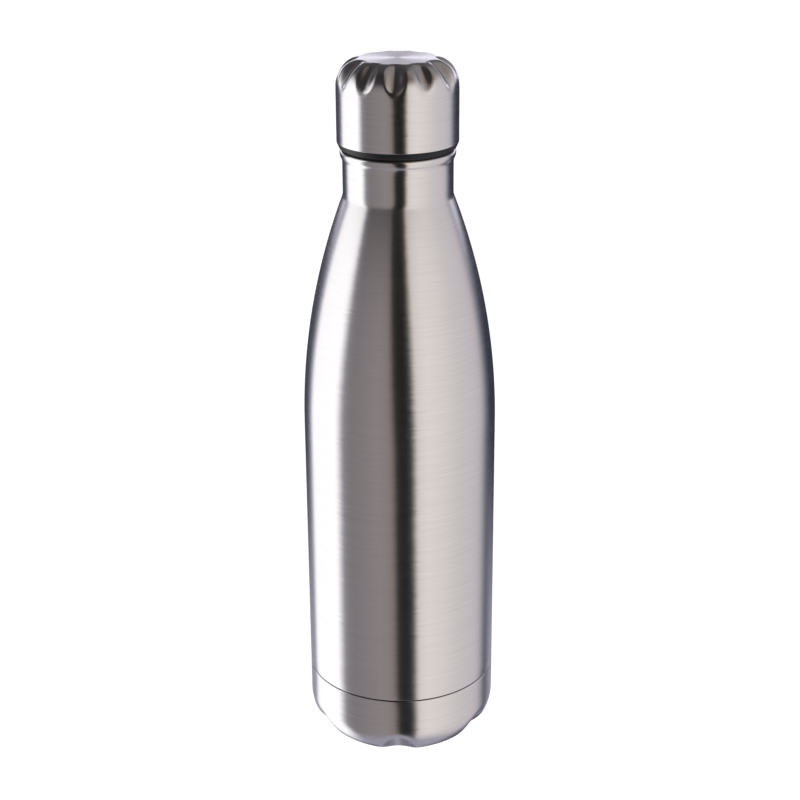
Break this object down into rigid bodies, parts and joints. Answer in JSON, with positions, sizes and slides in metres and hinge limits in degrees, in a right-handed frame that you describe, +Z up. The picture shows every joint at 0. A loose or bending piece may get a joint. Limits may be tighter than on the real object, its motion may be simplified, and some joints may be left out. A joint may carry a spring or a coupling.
{
  "type": "insulated water bottle",
  "caption": "Double-wall brushed steel vacuum bottle with a long tapered shoulder, scalloped foot and fluted screw cap on a black threaded plug.",
  "frame": {"origin": "centre of the foot ring, on the standing plane", "axes": "+Z up along the bottle's axis, out of the mouth; one scallop and one flute face -Y"},
  "size_m": [0.07, 0.07, 0.2587],
  "materials": {
    "brushed_steel": "circumferential brushing, satin",
    "cap_steel": "circumferential brushing, satin, spun top",
    "flask_steel": "electropolished, dull",
    "plain_steel": "mill finish",
    "copper_foil": "bright foil",
    "getter": "sintered, matt",
    "solder_glass": "fused, glossy",
    "black_plastic": "moulded, semi-gloss",
    "foam": "rigid closed-cell foam",
    "silicone": "satin"
  },
  "bodies": {
    "bottle": {"outer_shell": "brushed_steel", "base_cup": "brushed_steel", "base_disc": "plain_steel", "glass_seal": "solder_glass", "inner_flask": "flask_steel", "flask_bottom": "flask_steel", "foil_wrap": "copper_foil", "getter_holder": "plain_steel", "getter_pill": "getter"},
    "seal": {"seal_ring": "silicone"},
    "cap": {"cap_shell": "cap_steel", "threaded_plug": "black_plastic", "plug_insulation": "foam", "plug_cover": "black_plastic"}
  },
  "joints": [
    {"name": "cap_rise", "type": "slide", "parent": "bottle", "child": "seal", "axis": [0, 0, 1], "range_m": [0, 0.0251]},
    {"name": "cap_unscrew", "type": "hinge", "parent": "seal", "child": "cap", "pos_m": [0, 0, 0.23], "axis": [0, 0, 1], "range_deg": [0, 1800]}
  ],
  "couplings": [
    {"joint": "cap_rise", "follows": "cap_unscrew", "m_per_rad": 0.00079577}
  ]
}
